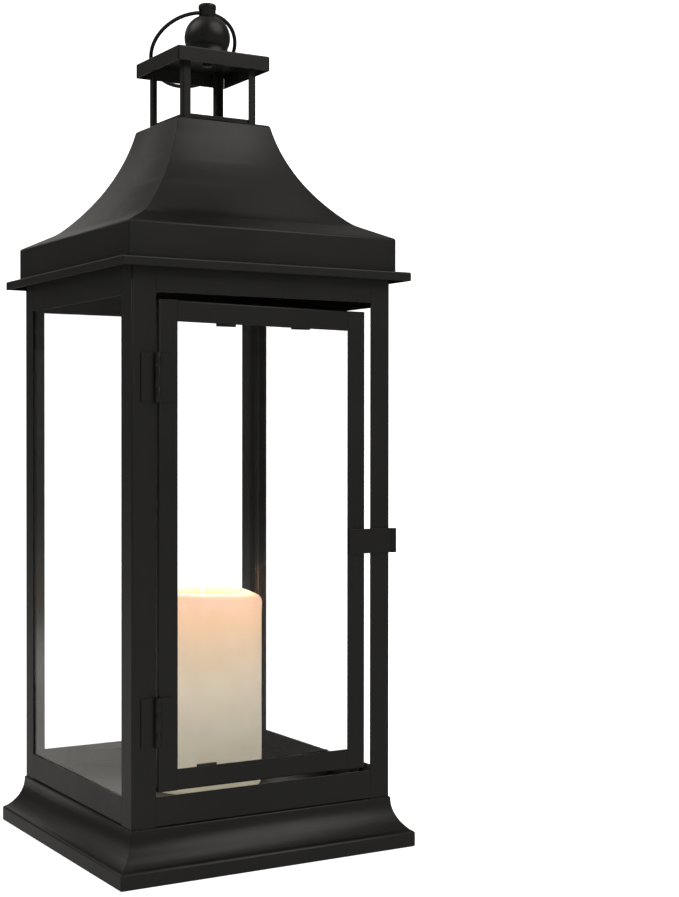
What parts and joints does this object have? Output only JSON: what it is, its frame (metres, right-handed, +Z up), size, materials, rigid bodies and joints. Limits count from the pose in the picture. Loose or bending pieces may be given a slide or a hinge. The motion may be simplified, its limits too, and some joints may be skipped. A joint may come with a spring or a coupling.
{
  "type": "candle lantern",
  "caption": "Tall square metal hurricane lantern with glazed sides, a hinged glass door, a flared roof with an open cupola, a ball finial with a hanging ring, and a pillar candle.",
  "frame": {"origin": "middle of the base's underside, on the surface the lantern stands on", "axes": "+Z up, the door faces -Y, the door's hinges are on the -X side"},
  "size_m": [0.2592, 0.2592, 0.6986],
  "materials": {
    "black_paint": "satin black paint with a fine orange-peel texture",
    "clear_glass": "clear polished sheet glass",
    "candle_wax": "ivory candle wax, soft satin, slightly translucent",
    "wick_cotton": "braided cotton wick, charred at the tip"
  },
  "bodies": {
    "lantern": {"base_skirt_front": "black_paint", "base_skirt_right": "black_paint", "base_skirt_back": "black_paint", "base_skirt_left": "black_paint", "floor_plate": "black_paint", "corner_post_front_left": "black_paint", "corner_post_front_right": "black_paint", "corner_post_back_right": "black_paint", "corner_post_back_left": "black_paint", "bottom_rail_front": "black_paint", "bottom_rail_right": "black_paint", "bottom_rail_back": "black_paint", "bottom_rail_left": "black_paint", "header_rail_front": "black_paint", "header_rail_right": "black_paint", "header_rail_back": "black_paint", "header_rail_left": "black_paint", "glass_left": "clear_glass", "glass_back": "clear_glass", "glass_right": "clear_glass", "glass_tabs_left": "black_paint", "glass_tabs_back": "black_paint", "glass_tabs_right": "black_paint", "eave_plate": "black_paint", "roof_panel_front": "black_paint", "roof_panel_right": "black_paint", "roof_panel_back": "black_paint", "roof_panel_left": "black_paint", "vent_collar": "black_paint", "cupola_post_front_left": "black_paint", "cupola_post_front_right": "black_paint", "cupola_post_back_right": "black_paint", "cupola_post_back_left": "black_paint", "cupola_cap": "black_paint", "finial_body": "black_paint", "finial_knob": "black_paint", "finial_washer": "black_paint", "finial_nut": "black_paint", "upper_hinge_frame_leaf": "black_paint", "upper_hinge_pin": "black_paint", "lower_hinge_frame_leaf": "black_paint", "lower_hinge_pin": "black_paint"},
    "door": {"door_stile_left": "black_paint", "door_stile_right": "black_paint", "door_rail_top": "black_paint", "door_rail_bottom": "black_paint", "door_glass": "clear_glass", "door_glass_tabs": "black_paint", "latch_plate": "black_paint", "upper_hinge_door_leaf": "black_paint", "lower_hinge_door_leaf": "black_paint"},
    "ring": {"hanging_ring": "black_paint"},
    "candle": {"candle": "candle_wax", "candle_wick": "wick_cotton"}
  },
  "joints": [
    {"name": "door_hinge", "type": "hinge", "parent": "lantern", "child": "door", "pos_m": [-0.0939, -0.1167, 0.25], "axis": [0, 0, -1], "range_deg": [0, 175]},
    {"name": "ring_swing", "type": "hinge", "parent": "lantern", "child": "ring", "pos_m": [0.0052, 0.001, 0.6911], "axis": [1, 0, 0], "range_deg": [0, 264]},
    {"name": "candle_lift", "type": "slide", "parent": "lantern", "child": "candle", "axis": [0, 0, 1], "range_m": [0, 0.1]}
  ]
}
